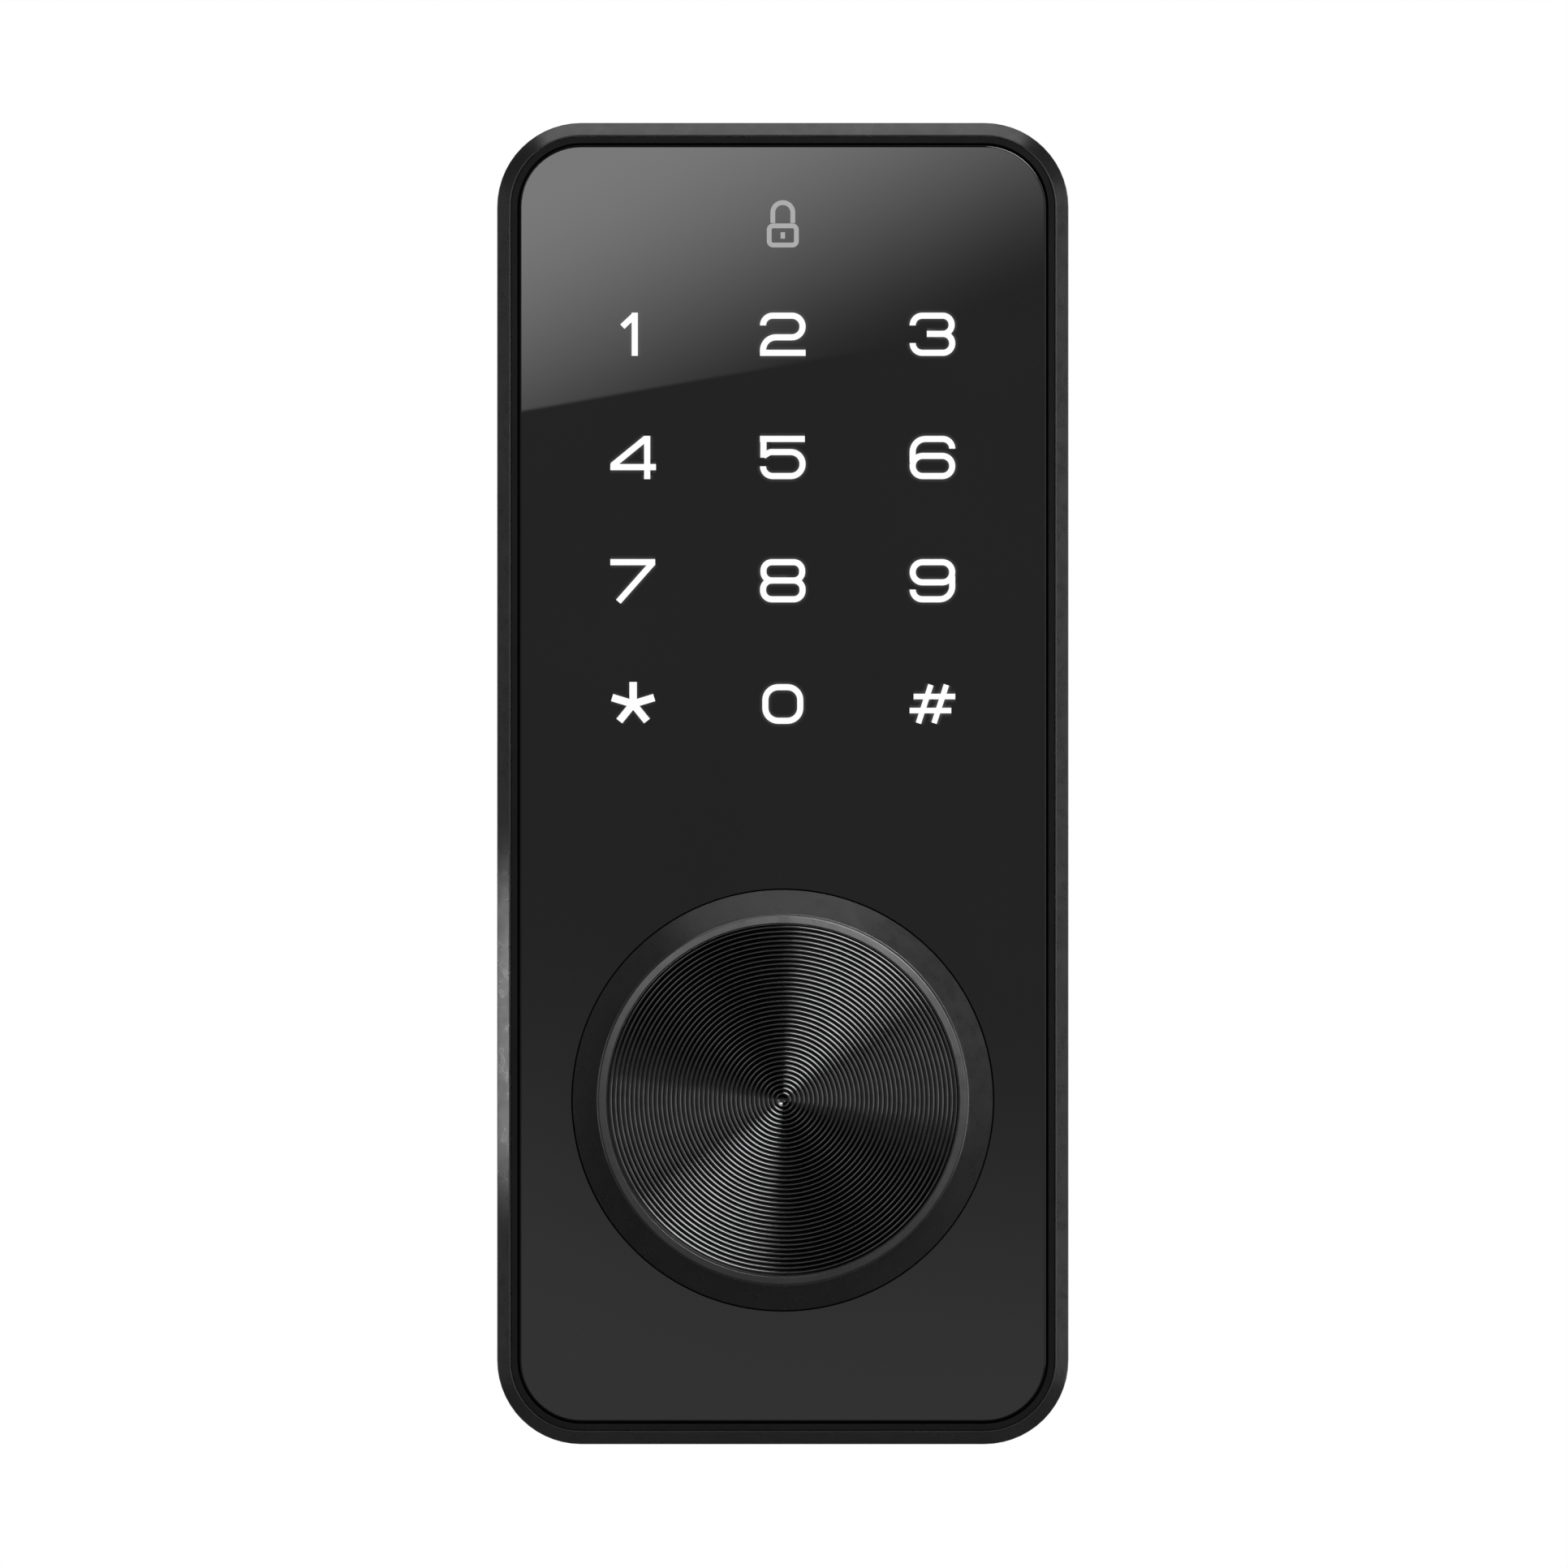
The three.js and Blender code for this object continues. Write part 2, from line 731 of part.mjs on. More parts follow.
const portBack = port.z - port.height / 2;
const portMouth = bottomEdge + coverPocket.depth + 0.3;
function powerPort() {
  const radius = port.height / 2 - 0.01;
  const inner = port.height - 0.7;
  const shell = slab(roundedRect(port.width, port.height, radius), 0, port.depth, 5);
  const mouth = slab(roundedRect(port.width - 0.7, inner, inner / 2 - 0.01), -1, port.depth - 1, 5);
  const tongue = block(-3.2, 3.2, -0.35, 0.35, 0.8, port.depth - 0.9);
  return join(cut(shell, mouth), tongue).rotate([-90, 0, 0]);
}
add("power_port", at(powerPort(), 0, portMouth, port.z), material.steel);
add("power_board", block(-10.4, 10.4, -40.4, -29.5, portBack - 1.7, portBack - fit), material.board);

const cover = { back: 8.9, front: 15.3, top: bottomEdge + 0.9 };
add(
  "port_cover",
  join(
    block(-7.7, 7.7, bottomEdge, cover.top, cover.back, cover.front),
    block(-3.5, 3.5, cover.top - fit, cover.top + 0.7, 10.9, 12.5), // the bung in the port's mouth
  ),
  material.rubber,
);

export default lock;
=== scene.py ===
"""The looks of the keypad smart lock's outside unit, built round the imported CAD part.

Sizes below are in millimetres in the lock's own frame: x to the right, y up and "out" away from the
door. spot() turns them into the row frame, in metres, where the lock faces -Y and +Z is up.
"""

import json
import math

import bmesh
import bpy
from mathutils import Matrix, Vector


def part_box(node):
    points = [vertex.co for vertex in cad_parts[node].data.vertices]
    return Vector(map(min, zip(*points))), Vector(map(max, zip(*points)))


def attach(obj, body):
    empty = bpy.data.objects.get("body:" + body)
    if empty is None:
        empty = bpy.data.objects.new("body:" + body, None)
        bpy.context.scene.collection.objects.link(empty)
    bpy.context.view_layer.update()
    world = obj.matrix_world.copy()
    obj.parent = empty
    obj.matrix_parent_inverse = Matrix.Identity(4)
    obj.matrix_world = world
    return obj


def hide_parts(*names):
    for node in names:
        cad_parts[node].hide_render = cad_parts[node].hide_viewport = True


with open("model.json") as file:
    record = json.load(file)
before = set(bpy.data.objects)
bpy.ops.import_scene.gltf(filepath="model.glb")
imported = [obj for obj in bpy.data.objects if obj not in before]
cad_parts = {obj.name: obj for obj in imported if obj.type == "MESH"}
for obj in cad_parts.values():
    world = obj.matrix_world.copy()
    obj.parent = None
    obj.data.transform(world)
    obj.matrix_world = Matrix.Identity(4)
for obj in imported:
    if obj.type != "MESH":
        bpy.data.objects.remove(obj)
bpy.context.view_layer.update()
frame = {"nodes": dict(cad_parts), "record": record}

MM = 0.001


def spot(x, y, out):
    """A point of the lock's frame, in millimetres, as a place in the scene."""
    return Vector((x, -out, y)) * MM


def cad_span(node):
    """A CAD node's box in the lock's frame: lowest and highest x, y and out, in millimetres."""
    low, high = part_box(node)
    return (low.x / MM, low.z / MM, -high.y / MM), (high.x / MM, high.z / MM, -low.y / MM)


# ---------------------------------------------------------------- sizes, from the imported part

HOUSING_LOW, HOUSING_HIGH = cad_span("housing")
WIDTH = HOUSING_HIGH[0] - HOUSING_LOW[0]
HEIGHT = HOUSING_HIGH[1] - HOUSING_LOW[1]
CENTRE_Y = (HOUSING_HIGH[1] + HOUSING_LOW[1]) / 2
REAR, FRONT = HOUSING_LOW[2], HOUSING_HIGH[2]
CORNER = 10.5  # the housing's corner radius
BEVEL = 1.5
LIP = 0.15  # flat edge between the bevel and the panel's frame
WALL = 2.2
FLOOR_FRONT = 21.5
FLOOR_BACK = 19.5
FRAME_RECESS = 0.2
PANEL_INSET = 2.75
PLATE_BACK = 1.5
POST_X = 17.5
PIN_BORE = 1.1  # radius of the cross hole for the tailpiece's pin
POCKET_HALF_WIDTH = 8  # the recess for the power port's cover
POCKET_DEPTH = 1.1
PORT_OUT = 11.9

KNOB_RADIUS = cad_span("knob_body")[1][0]
KNOB_FRONT = cad_span("knob_body")[1][2]
KNOB_BACK = cad_span("knob_body")[0][2]
KNOB_WALL = 2
KNOB_FLOOR = 31
KNOB_WAIST = KNOB_RADIUS - 0.3  # behind its rim the knob narrows, so that the rim covers the gap
ROSE_RADIUS = 26.27
ROSE_GAP = 0.17
ROSE_INNER = KNOB_RADIUS - 0.13
ROSE_TOP = cad_span("knob_rose")[1][2]
ROSE_FLANGE = 29
FACE_RADIUS = cad_span("knob_face")[1][0]
FACE_FRONT = cad_span("knob_face")[1][2]
FACE_MARGIN = 0.1
FACE_SEAT = 34.4
RIM_CROWN = 0.12
RIM_CHAMFER = 0.26
GROOVE_PITCH = 0.578
RIDGE_SLOPE = math.radians(45)

COLUMNS = (-18.7, 0, 18.7)
ROWS = (95.7, 80.3, 64.9, 49.5)
KEYS = ("123", "456", "789", "*0#")

# ---------------------------------------------------------------- mesh helpers

SMOOTH_ANGLE = 35
CORNER_SHARE = 0.49  # how much of an edge the rounding at one of its ends may use
END_SHARE = 0.98  # the same on the first and last edge of an open outline
ON_AXIS = 1e-6


def fillet(corners, closed=True, steps=4):
    """Points (a, b) of an outline whose corners may carry a rounding radius: (a, b, radius)."""
    points = []
    count = len(corners)
    for i, corner in enumerate(corners):
        here = Vector(corner[:2])
        radius = corner[2] if len(corner) > 2 else 0
        at_end = not closed and i in (0, count - 1)
        if radius == 0 or at_end:
            points.append(tuple(here))
            continue
        before = Vector(corners[i - 1][:2]) - here
        after = Vector(corners[(i + 1) % count][:2]) - here
        u, v = before.normalized(), after.normalized()
        half = u.angle(v) / 2
        room_before = before.length * (END_SHARE if not closed and i == 1 else CORNER_SHARE)
        room_after = after.length * (END_SHARE if not closed and i == count - 2 else CORNER_SHARE)
        reach = min(radius / math.tan(half), room_before, room_after)
        radius = reach * math.tan(half)
        centre = here + (u + v).normalized() * radius / math.sin(half)
        first = math.atan2(*reversed(here + u * reach - centre))
        last = math.atan2(*reversed(here + v * reach - centre))
        turn = (last - first + math.pi) % (2 * math.pi) - math.pi
        for k in range(steps + 1):
            angle = first + turn * k / steps
            points.append((centre.x + radius * math.cos(angle), centre.y + radius * math.sin(angle)))
    return points


def rounded_loop(width, height, radius, x, y, out, steps=14):
    """A rounded rectangle about (x, y), anticlockwise as seen from the front."""
    loop = []
    for quarter, (side, up) in enumerate(((1, -1), (1, 1), (-1, 1), (-1, -1))):
        corner_x = x + side * (width / 2 - radius)
        corner_y = y + up * (height / 2 - radius)
        for k in range(steps + 1):
            angle = math.radians(90 * (quarter - 1) + 90 * k / steps)
            loop.append(
                spot(corner_x + radius * math.cos(angle), corner_y + radius * math.sin(angle), out)
            )
    return loop


def housing_loop(inset, out):
    """The housing's outline, drawn in by an inset."""
    radius = max(CORNER - inset, 0.4)
    return rounded_loop(WIDTH - 2 * inset, HEIGHT - 2 * inset, radius, 0, CENTRE_Y, out)


def piece(name, vertices, faces, smooth_angle=SMOOTH_ANGLE):
    """A mesh object whose edges sharper than the angle stay sharp."""
    mesh = bpy.data.meshes.new(name)
    mesh.from_pydata([tuple(v) for v in vertices], [], faces)
    work = bmesh.new()
    work.from_mesh(mesh)
    bmesh.ops.recalc_face_normals(work, faces=work.faces)
    work.to_mesh(mesh)
    work.free()
    made = bpy.data.objects.new(name, mesh)
    bpy.context.scene.collection.objects.link(made)
    soften(made, smooth_angle)
    return made


def soften(made, smooth_angle=SMOOTH_ANGLE):
    """Smooth shading that breaks at edges sharper than the angle."""
    made.data.shade_smooth()
    made.data.set_sharp_from_angle(angle=math.radians(smooth_angle))


def loft(name, loops, ring=False):
    """Skins a row of loops. As a ring, the last loop joins the first; otherwise both ends get caps."""
    count = len(loops[0])
    vertices = [point for loop in loops for point in loop]
    faces = []
    spans = len(loops) if ring else len(loops) - 1
    for i in range(spans):
        here, there = i * count, (i + 1) % len(loops) * count
        for k in range(count):
            after = (k + 1) % count
            faces.append((here + k, here + after, there + after, there + k))
    if not ring:
        faces.append(tuple(range(count))[::-1])
        faces.append(tuple(range(len(vertices) - count, len(vertices))))
    return piece(name, vertices, faces)


def turned(name, profile, x=0, y=0, segments=128, smooth_angle=SMOOTH_ANGLE):
    """A body of revolution about an axis out of the door, from (radius, out) points.

    A profile that starts and ends on the axis is closed by it; any other is closed on itself."""
    vertices, rings = [], []
    for radius, out in profile:
        if radius < ON_AXIS:
            rings.append([len(vertices)] * segments)
            vertices.append(spot(x, y, out))
            continue
        rings.append(list(range(len(vertices), len(vertices) + segments)))
        for k in range(segments):
            angle = 2 * math.pi * k / segments
            vertices.append(spot(x + radius * math.cos(angle), y + radius * math.sin(angle), out))
    on_axis = profile[0][0] < ON_AXIS and profile[-1][0] < ON_AXIS
    faces = []
    for i in range(len(rings) - (1 if on_axis else 0)):
        here, there = rings[i], rings[(i + 1) % len(rings)]
        for k in range(segments):
            after = (k + 1) % segments
            corners = [here[k], here[after], there[after], there[k]]
            face = tuple(dict.fromkeys(corners))
            if len(face) > 2:
                faces.append(face)
    return piece(name, vertices, faces, smooth_angle)


def slab(name, low, high, radius=0.3, edge=0.1):
    """A rounded block between two corners (x, y, out), with softened front and back edges."""
    width, height = high[0] - low[0], high[1] - low[1]
    x, y = (high[0] + low[0]) / 2, (high[1] + low[1]) / 2
    loops = []
    for inset, out in ((edge, low[2]), (0, low[2] + edge), (0, high[2] - edge), (edge, high[2])):
        corner = max(radius - inset, 0.02)
        loops.append(
            rounded_loop(width - 2 * inset, height - 2 * inset, corner, x, y, out, steps=6)
        )
    return loft(name, loops)


def carve(made, cutters, operation="DIFFERENCE"):
    """Cuts the cutters from an object, or joins them to it, and removes them."""
    for cutter in cutters:
        step = made.modifiers.new("shape", "BOOLEAN")
        step.operation = operation
        step.object = cutter
        step.solver = "EXACT"
    graph = bpy.context.evaluated_depsgraph_get()
    mesh = bpy.data.meshes.new_from_object(made.evaluated_get(graph))
    made.modifiers.clear()
    made.data = mesh
    for cutter in cutters:
        bpy.data.objects.remove(cutter)
    soften(made)
    return made


def rod(x, y, radius, back, front, segments=48, flare=0):
    """A cylinder for cutting or joining, opened by a flare at its front."""
    profile = [(0, back), (radius, back), (radius, front - flare), (radius + flare, front), (0, front)]
    return turned("cutter", profile, x, y, segments)


def tip(made):
    """Turns an object's mesh a quarter turn about the x axis, so that its front faces down."""
    turn = math.radians(90)
    for vertex in made.data.vertices:
        x, y, z = vertex.co
        turned_y = y * math.cos(turn) - z * math.sin(turn)
        turned_z = y * math.sin(turn) + z * math.cos(turn)
        vertex.co = Vector((x, turned_y, turned_z))
    return made


# ---------------------------------------------------------------- materials

NOISE_LOW, NOISE_HIGH = 0.3, 0.7  # most of what a noise gives lies between these


class Surface:
    """A Principled material whose colour, roughness and bump vary with fine procedural noise."""

    def __init__(self, name, roughness, metallic=0.0, specular=0.5):
        self.material = bpy.data.materials.new(name)
        self.material.use_nodes = True
        self.nodes = self.material.node_tree.nodes
        self.links = self.material.node_tree.links
        self.shader = self.nodes["Principled BSDF"]
        self.shader.inputs["Metallic"].default_value = metallic
        self.shader.inputs["Specular IOR Level"].default_value = specular
        self.place = self.nodes.new("ShaderNodeTexCoord")
        self.span = roughness
        self.normal = None

    def noise(self, size, detail=4.0, stretch=(1, 1, 1)):
        """Noise with features of a size in millimetres, drawn out along an axis by stretch."""
        scale = self.nodes.new("ShaderNodeMapping")
        scale.inputs["Scale"].default_value = [1 / (size * MM * s) for s in stretch]
        self.links.new(self.place.outputs["Object"], scale.inputs["Vector"])
        noise = self.nodes.new("ShaderNodeTexNoise")
        noise.inputs["Scale"].default_value = 1.0
        noise.inputs["Detail"].default_value = detail
        self.links.new(scale.outputs["Vector"], noise.inputs["Vector"])
        return noise.outputs["Fac"]

    def colour(self, source, dark, light):
        """Base colour from dark to light as the noise rises."""
        blend = self.nodes.new("ShaderNodeValToRGB")
        blend.color_ramp.elements[0].position = NOISE_LOW
        blend.color_ramp.elements[1].position = NOISE_HIGH
        blend.color_ramp.elements[0].color = (*dark, 1)
        blend.color_ramp.elements[1].color = (*light, 1)
        self.links.new(source, blend.inputs["Fac"])
        self.links.new(blend.outputs["Color"], self.shader.inputs["Base Color"])
        return self

    def rough(self, source):
        """Roughness over the surface's span as the noise rises."""
        spread = self.nodes.new("ShaderNodeMapRange")
        spread.inputs["From Min"].default_value = NOISE_LOW
        spread.inputs["From Max"].default_value = NOISE_HIGH
        spread.inputs["To Min"].default_value = self.span[0]
        spread.inputs["To Max"].default_value = self.span[1]
        self.links.new(source, spread.inputs["Value"])
        self.links.new(spread.outputs["Result"], self.shader.inputs["Roughness"])
        return self

    def bump(self, source, height):
        """Relief of a height in millimetres."""
        relief = self.nodes.new("ShaderNodeBump")
        relief.inputs["Distance"].default_value = height * MM
        self.links.new(source, relief.inputs["Height"])
        if self.normal:
            self.links.new(self.normal, relief.inputs["Normal"])
        self.normal = relief.outputs["Normal"]
        self.links.new(self.normal, self.shader.inputs["Normal"])
        return self


def grey(value, tint=(1, 1, 1)):
    """A grey, which a tint may warm or cool."""
    return tuple(value * t for t in tint)


def painted(name, dark, light, metallic, roughness):
    """Satin coat over die-cast zinc: orange peel, cloudy gloss and slight wear in the tone."""
    made = Surface(name, roughness, metallic)
    made.colour(made.noise(5, 3), grey(dark), grey(light))
    made.rough(made.noise(1.6, 2))
    made.bump(made.noise(0.7, 1), 0.003)
    return made.bump(made.noise(2.6, 1), 0.004).material


def moulded(name, dark, light, roughness, grain=0.25, height=0.01, specular=0.5):
    """Moulded plastic or rubber with an even grain, in millimetres."""
    made = Surface(name, roughness, specular=specular)
    made.colour(made.noise(6, 4), dark, light)
    made.rough(made.noise(2.2, 5))
    return made.bump(made.noise(grain, 3), height).material


def metal(name, dark, light, roughness, stretch):
    """Bare metal with fine drawn-out tool marks."""
    size, height = 0.4, 0.003
    made = Surface(name, roughness, metallic=1.0)
    made.colour(made.noise(4, 5), dark, light)
    made.rough(made.noise(size, 4, stretch))
    return made.bump(made.noise(size * 0.6, 3, stretch), height).material


def cover_glass():
    """Polished glass over black print, with the faintest smears."""
    made = Surface("cover_glass", (0.002, 0.007))
    made.colour(made.noise(30, 3), grey(0.0012), grey(0.0022, (1, 1.02, 1.08)))
    made.rough(made.noise(14, 6))
    return made.bump(made.noise(22, 2), 0.0003).material


def anodised():
    """Black anodised aluminium, with a little variation from groove to groove."""
    made = Surface("black_anodised", (0.1, 0.15), metallic=1.0)
    made.colour(made.noise(1.2, 5), grey(0.07), grey(0.09, (1, 1, 1.03)))
    made.rough(made.noise(0.5, 4))
    return made.bump(made.noise(0.12, 2), 0.001).material


def board():
    """Green solder mask over copper: wide tracks and pours show as bands of tone."""
    made = Surface("solder_mask", (0.25, 0.45))
    tracks = made.nodes.new("ShaderNodeTexBrick")
    tracks.inputs["Scale"].default_value = 420
    tracks.inputs["Mortar Size"].default_value = 0.06
    tracks.inputs["Color1"].default_value = (0.012, 0.10, 0.045, 1)
    tracks.inputs["Color2"].default_value = (0.016, 0.13, 0.06, 1)
    tracks.inputs["Mortar"].default_value = (0.03, 0.2, 0.09, 1)
    made.links.new(made.place.outputs["Object"], tracks.inputs["Vector"])
    made.links.new(tracks.outputs["Color"], made.shader.inputs["Base Color"])
    made.rough(made.noise(3, 4))
    return made.bump(tracks.outputs["Fac"], 0.02).material


def glow(name, strength, tint):
    """A lit window in the print. Its light falls off with the mesh's own "lit" value."""
    made = bpy.data.materials.new(name)
    made.use_nodes = True
    nodes, links = made.node_tree.nodes, made.node_tree.links
    nodes.clear()
    lit = nodes.new("ShaderNodeAttribute")
    lit.attribute_name = "lit"
    power = nodes.new("ShaderNodeMath")
    power.operation = "POWER"
    power.inputs[1].default_value = 2.2
    light = nodes.new("ShaderNodeEmission")
    light.inputs["Color"].default_value = (*tint, 1)
    light.inputs["Strength"].default_value = strength
    clear = nodes.new("ShaderNodeBsdfTransparent")
    blend = nodes.new("ShaderNodeMixShader")
    out = nodes.new("ShaderNodeOutputMaterial")
    links.new(lit.outputs["Fac"], power.inputs[0])
    links.new(power.outputs[0], blend.inputs["Fac"])
    links.new(clear.outputs[0], blend.inputs[1])
    links.new(light.outputs[0], blend.inputs[2])
    links.new(blend.outputs[0], out.inputs["Surface"])
    return made


SLOTS = {
    "painted_zinc": painted("satin_paint", 0.124, 0.14, 0.9, (0.26, 0.32)),
    "matte_black": moulded("matte_black", grey(0.004), grey(0.006), (0.45, 0.6), specular=0.12),
    "panel_black": cover_glass(),
    "anodised": anodised(),
    "clear": moulded("clear_acrylic", grey(0.6), grey(0.7), (0.08, 0.18), 1.5, 0.002),
    "white": moulded("lamp_white", grey(0.7), grey(0.85), (0.3, 0.5), 0.4),
    "board": board(),
    "chip": moulded("moulded_epoxy", grey(0.012), grey(0.02), (0.4, 0.55), 0.15),
    "steel": metal("plated_steel", grey(0.42), grey(0.58, (1, 1, 0.97)), (0.24, 0.42), (1, 1, 6)),
    "brass": metal("turned_brass", (0.5, 0.34, 0.13), (0.66, 0.46, 0.2), (0.2, 0.34), (6, 1, 1)),
    "acetal": moulded("acetal", grey(0.62, (1, 0.97, 0.9)), grey(0.72, (1, 0.97, 0.9)), (0.35, 0.5)),
    "rubber": moulded("rubber", grey(0.011), grey(0.019), (0.65, 0.85), 0.18, 0.015),
}

for part in frame["record"]["subparts"]:
    node = frame["nodes"][part["node"]]
    node.data.materials.clear()
    node.data.materials.append(SLOTS[part["material_slot"]])


def fit(made, slot_name, body, *nodes):
    """Gives a piece its finish, ties it to a CAD body and hides the nodes that it stands for."""
    made.data.materials.clear()
    made.data.materials.append(SLOTS[slot_name])
    shading = made.modifiers.new("flat_shading", "WEIGHTED_NORMAL")
    shading.keep_sharp = True
    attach(made, body)
    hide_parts(*nodes)
    return made


# ---------------------------------------------------------------- housing


def housing():
    """Die-cast tub, with the openings in its front floor and its bottom wall."""
    outline = fillet(
        [
            (WALL, FLOOR_BACK),
            (WALL, REAR, 0.3),
            (0, REAR, 0.5),
            (0, FRONT - BEVEL, 0.35),
            (BEVEL, FRONT, 0.12),
            (BEVEL + LIP, FRONT, 0.05),
            (BEVEL + LIP, FLOOR_FRONT),
        ],
        closed=False,
    )
    made = loft("housing_shell", [housing_loop(inset, out) for inset, out in outline])
    edge = HOUSING_LOW[1]
    recess = slab(
        "recess",
        (-POCKET_HALF_WIDTH, edge - 2, 8.6),
        (POCKET_HALF_WIDTH, edge + POCKET_DEPTH, 15.6),
        0.2,
        0.02,
    )
    port = tip(slab("hole", (-4.7, -1.8, -6), (4.7, 1.8, 6), 1.79, 0.02))
    for vertex in port.data.vertices:
        vertex.co += spot(0, edge, PORT_OUT)
    window_low, window_high = cad_span("light_shade")
    window = slab(
        "window",
        (window_low[0] - 0.3, window_low[1] - 0.3, 19),
        (window_high[0] + 0.3, window_high[1] + 0.3, 22),
        0.3,
    )
    bores = [rod(0, 0, 6.6, 14, 22)]
    bores += [rod(*centre_of(f"rose_screw_{i}"), 2.4, 19, 22, 24) for i in (1, 2, 3)]
    bores += [rod(*centre_of(f"board_screw_{i}"), 1.1, 18, 20.9, 16) for i in (1, 2, 3, 4)]
    return carve(made, [recess, port, window, *bores])


def centre_of(node):
    """The x and y of the middle of a CAD node."""
    low, high = cad_span(node)
    return (low[0] + high[0]) / 2, (low[1] + high[1]) / 2


shell = fit(housing(), "painted_zinc", "case", "housing")

# ---------------------------------------------------------------- front: frame, glass and rose

frame_profile = fillet(
    [
        (BEVEL + LIP + 0.1, FLOOR_FRONT + 0.1),
        (BEVEL + LIP + 0.1, FRONT - FRAME_RECESS, 0.06),
        (PANEL_INSET - 0.2, FRONT - FRAME_RECESS, 0.08),
        (PANEL_INSET - 0.2, 22),
        (4.2, 22),
        (4.2, FLOOR_FRONT + 0.1),
    ]
)
fit(
    loft("panel_frame_ring", [housing_loop(i, o) for i, o in frame_profile], ring=True),
    "matte_black",
    "case",
    "panel_frame",
)


def touch_panel():
    """Cover glass with a polished edge and a round opening for the knob."""
    back, front = cad_span("touch_panel")[0][2], FRONT
    outline = fillet(
        [(PANEL_INSET, back), (PANEL_INSET, front, 0.22), (PANEL_INSET + 0.3, front)], closed=False
    )
    outline += [(PANEL_INSET + 4, front)]
    loops = [housing_loop(PANEL_INSET + 4, back)] + [housing_loop(i, o) for i, o in outline]
    made = loft("glass_panel", loops)
    return carve(made, [rod(0, 0, ROSE_RADIUS + ROSE_GAP, back - 1, front + 0.06, 192, 0.06)])


fit(touch_panel(), "panel_black", "case", "touch_panel")

rose_profile = fillet(
    [
        (ROSE_INNER, FLOOR_FRONT + 0.1),
        (ROSE_FLANGE, FLOOR_FRONT + 0.1),
        (ROSE_FLANGE, 22),
        (ROSE_RADIUS, 22),
        (ROSE_RADIUS, FRONT - 0.02, 0.12),
        (ROSE_INNER + 0.15, ROSE_TOP, 0.08),
        (ROSE_INNER, ROSE_TOP, 0.04),
    ]
)
rose = fit(turned("rose_cone", rose_profile, segments=192), "painted_zinc", "case", "knob_rose")
rose.data.materials.append(SLOTS["matte_black"])
for face in rose.data.polygons:
    # Painted shade: the rose's outer wall and its flange under the glass take the matte black, so that
    # the gap round the glass reads dark.
    if math.hypot(face.center.x, face.center.z) > (ROSE_RADIUS - 0.02) * MM:
        face.material_index = 1

# ---------------------------------------------------------------- knob


def knob_cup():
    """The knob's body: a cup with a boss for the spindle and a shallow seat for the turned face."""
    inner = KNOB_RADIUS - KNOB_WALL
    seat_radius = FACE_RADIUS + 0.1
    profile = fillet(
        [
            (0, KNOB_FLOOR),
            (inner, KNOB_FLOOR, 0.8),
            (inner, KNOB_BACK, 0.2),
            (KNOB_WAIST, KNOB_BACK, 0.2),
            (KNOB_WAIST, ROSE_TOP + 0.7),
            (KNOB_RADIUS, ROSE_TOP + 1, 0.1),
            (KNOB_RADIUS, KNOB_FRONT - RIM_CROWN - RIM_CHAMFER, 0.3),
            (KNOB_RADIUS - RIM_CHAMFER, KNOB_FRONT - RIM_CROWN, 0.15),
            (seat_radius + 0.02, KNOB_FRONT, 0.05),
            (seat_radius + 0.02, FACE_SEAT),
            (0, FACE_SEAT),
        ],
        closed=False,
    )
    made = turned("knob_cup", profile, segments=192)
    boss = turned("boss", fillet([(0, 23.4), (6.5, 23.4, 0.2), (6.5, 31.2), (0, 31.2)], False))
    carve(made, [boss], "UNION")
    square = slab("square", (-2.8, -2.8, 23), (2.8, 2.8, KNOB_FLOOR), 0.05, 0.01)
    return carve(made, [square, rod(0, 0, 2.2, 30, 35, 32), rod(0, 0, 4.2, 32.4, 35, 32)])


fit(knob_cup(), "painted_zinc", "knob", "knob_body")


def grooved_face():
    """The knob's disc. Its front is turned into round concentric ridges with sharp valleys."""
    back = cad_span("knob_face")[0][2]
    steps = 6
    ridge_radius = GROOVE_PITCH / 2 / math.sin(RIDGE_SLOPE)
    count = int((FACE_RADIUS - FACE_MARGIN) / GROOVE_PITCH)
    first = FACE_RADIUS - FACE_MARGIN - count * GROOVE_PITCH
    profile = []
    for ridge in range(count):
        middle = first + (ridge + 0.5) * GROOVE_PITCH
        for k in range(steps + (ridge == count - 1)):
            lean = RIDGE_SLOPE * (2 * k / steps - 1)
            drop = ridge_radius * (1 - math.cos(lean))
            profile.append((middle + ridge_radius * math.sin(lean), FACE_FRONT - drop))
    valley = profile[0][1]
    profile = [(0, valley), *profile, (FACE_RADIUS, valley), (FACE_RADIUS, back), (0, back)]
    return turned("grooved_disc", profile, segments=240, smooth_angle=60)


fit(grooved_face(), "anodised", "knob", "knob_face")

# ---------------------------------------------------------------- key marks


def round_path(points, radius, closed):
    """A path with rounded corners and no point twice."""
    path = []
    for point in fillet([(x, y, radius) for x, y in points], closed, 8):
        if not path or (Vector(point) - path[-1]).length > 1e-4:
            path.append(Vector(point))
    return path


def ribbon(path, half_width, closed):
    """The two sides of a stroke of even width along a path."""
    sides = []
    count = len(path)
    for i, point in enumerate(path):
        before = path[i - 1] if closed or i > 0 else point
        after = path[(i + 1) % count] if closed or i < count - 1 else point
        a = (point - before).normalized() if (point - before).length > 1e-9 else None
        b = (after - point).normalized() if (after - point).length > 1e-9 else None
        a, b = a or b, b or a
        along = (a + b).normalized()
        across = Vector((-along.y, along.x))
        reach = half_width / max(abs(across.dot(Vector((-a.y, a.x)))), 0.4)
        sides.append((point + across * reach, point, point - across * reach))
    return sides


